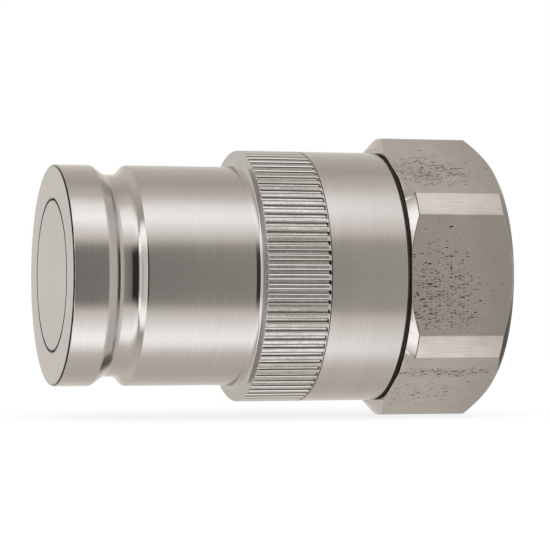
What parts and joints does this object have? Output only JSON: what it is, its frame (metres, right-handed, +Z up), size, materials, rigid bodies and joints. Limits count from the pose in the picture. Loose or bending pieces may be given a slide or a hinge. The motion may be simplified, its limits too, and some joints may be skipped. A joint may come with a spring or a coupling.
{
  "type": "flat face quick coupler",
  "caption": "Male half of a flat face hydraulic quick coupler: flush sprung poppet in a nose ring with a ball groove, knurled collar, and a hex adapter with a female pipe port.",
  "frame": {"origin": "centre of the flat mating face, where the closed poppet is flush with the nose", "axes": "+X along the coupler's axis from the mating face to the port, +Z up with two corners of the hexagon along +Z and -Z, -Y a flat of the hexagon"},
  "size_m": [0.0721, 0.042, 0.0464],
  "materials": {
    "body_steel": "fine turned stainless steel, ball groove polished",
    "hex_steel": "cold drawn hexagon bar with turned ends and small dark pits on the flats",
    "valve_steel": "fine faced stainless steel",
    "stem_steel": "ground stainless steel",
    "spring_steel": "drawn stainless spring wire",
    "clip_steel": "stamped spring steel",
    "guide_steel": "machined stainless steel",
    "bush_bronze": "plain bearing bronze",
    "seal_rubber": "smooth black rubber",
    "gap_ring_rubber": "matt black rubber",
    "backup_plastic": "off-white low-friction plastic"
  },
  "bodies": {
    "body": {"nose_body": "body_steel", "nose_seal_oring": "seal_rubber", "nose_seal_front_backup_ring": "backup_plastic", "nose_seal_rear_backup_ring": "backup_plastic", "poppet_spring": "spring_steel", "guide_spider": "guide_steel", "guide_bush": "bush_bronze", "body_joint_oring": "seal_rubber", "body_joint_backup_ring": "backup_plastic", "joint_gap_ring": "gap_ring_rubber", "hex_adapter": "hex_steel"},
    "poppet": {"poppet_head": "valve_steel", "poppet_stem": "stem_steel", "stem_washer": "guide_steel", "stem_circlip": "clip_steel"}
  },
  "joints": [
    {"name": "poppet_slide", "type": "slide", "parent": "body", "child": "poppet", "axis": [1, 0, 0], "range_m": [0, 0.013], "stiffness_N_per_m": 3000, "springref_m": -0.0138, "deforming": ["poppet_spring"]}
  ]
}
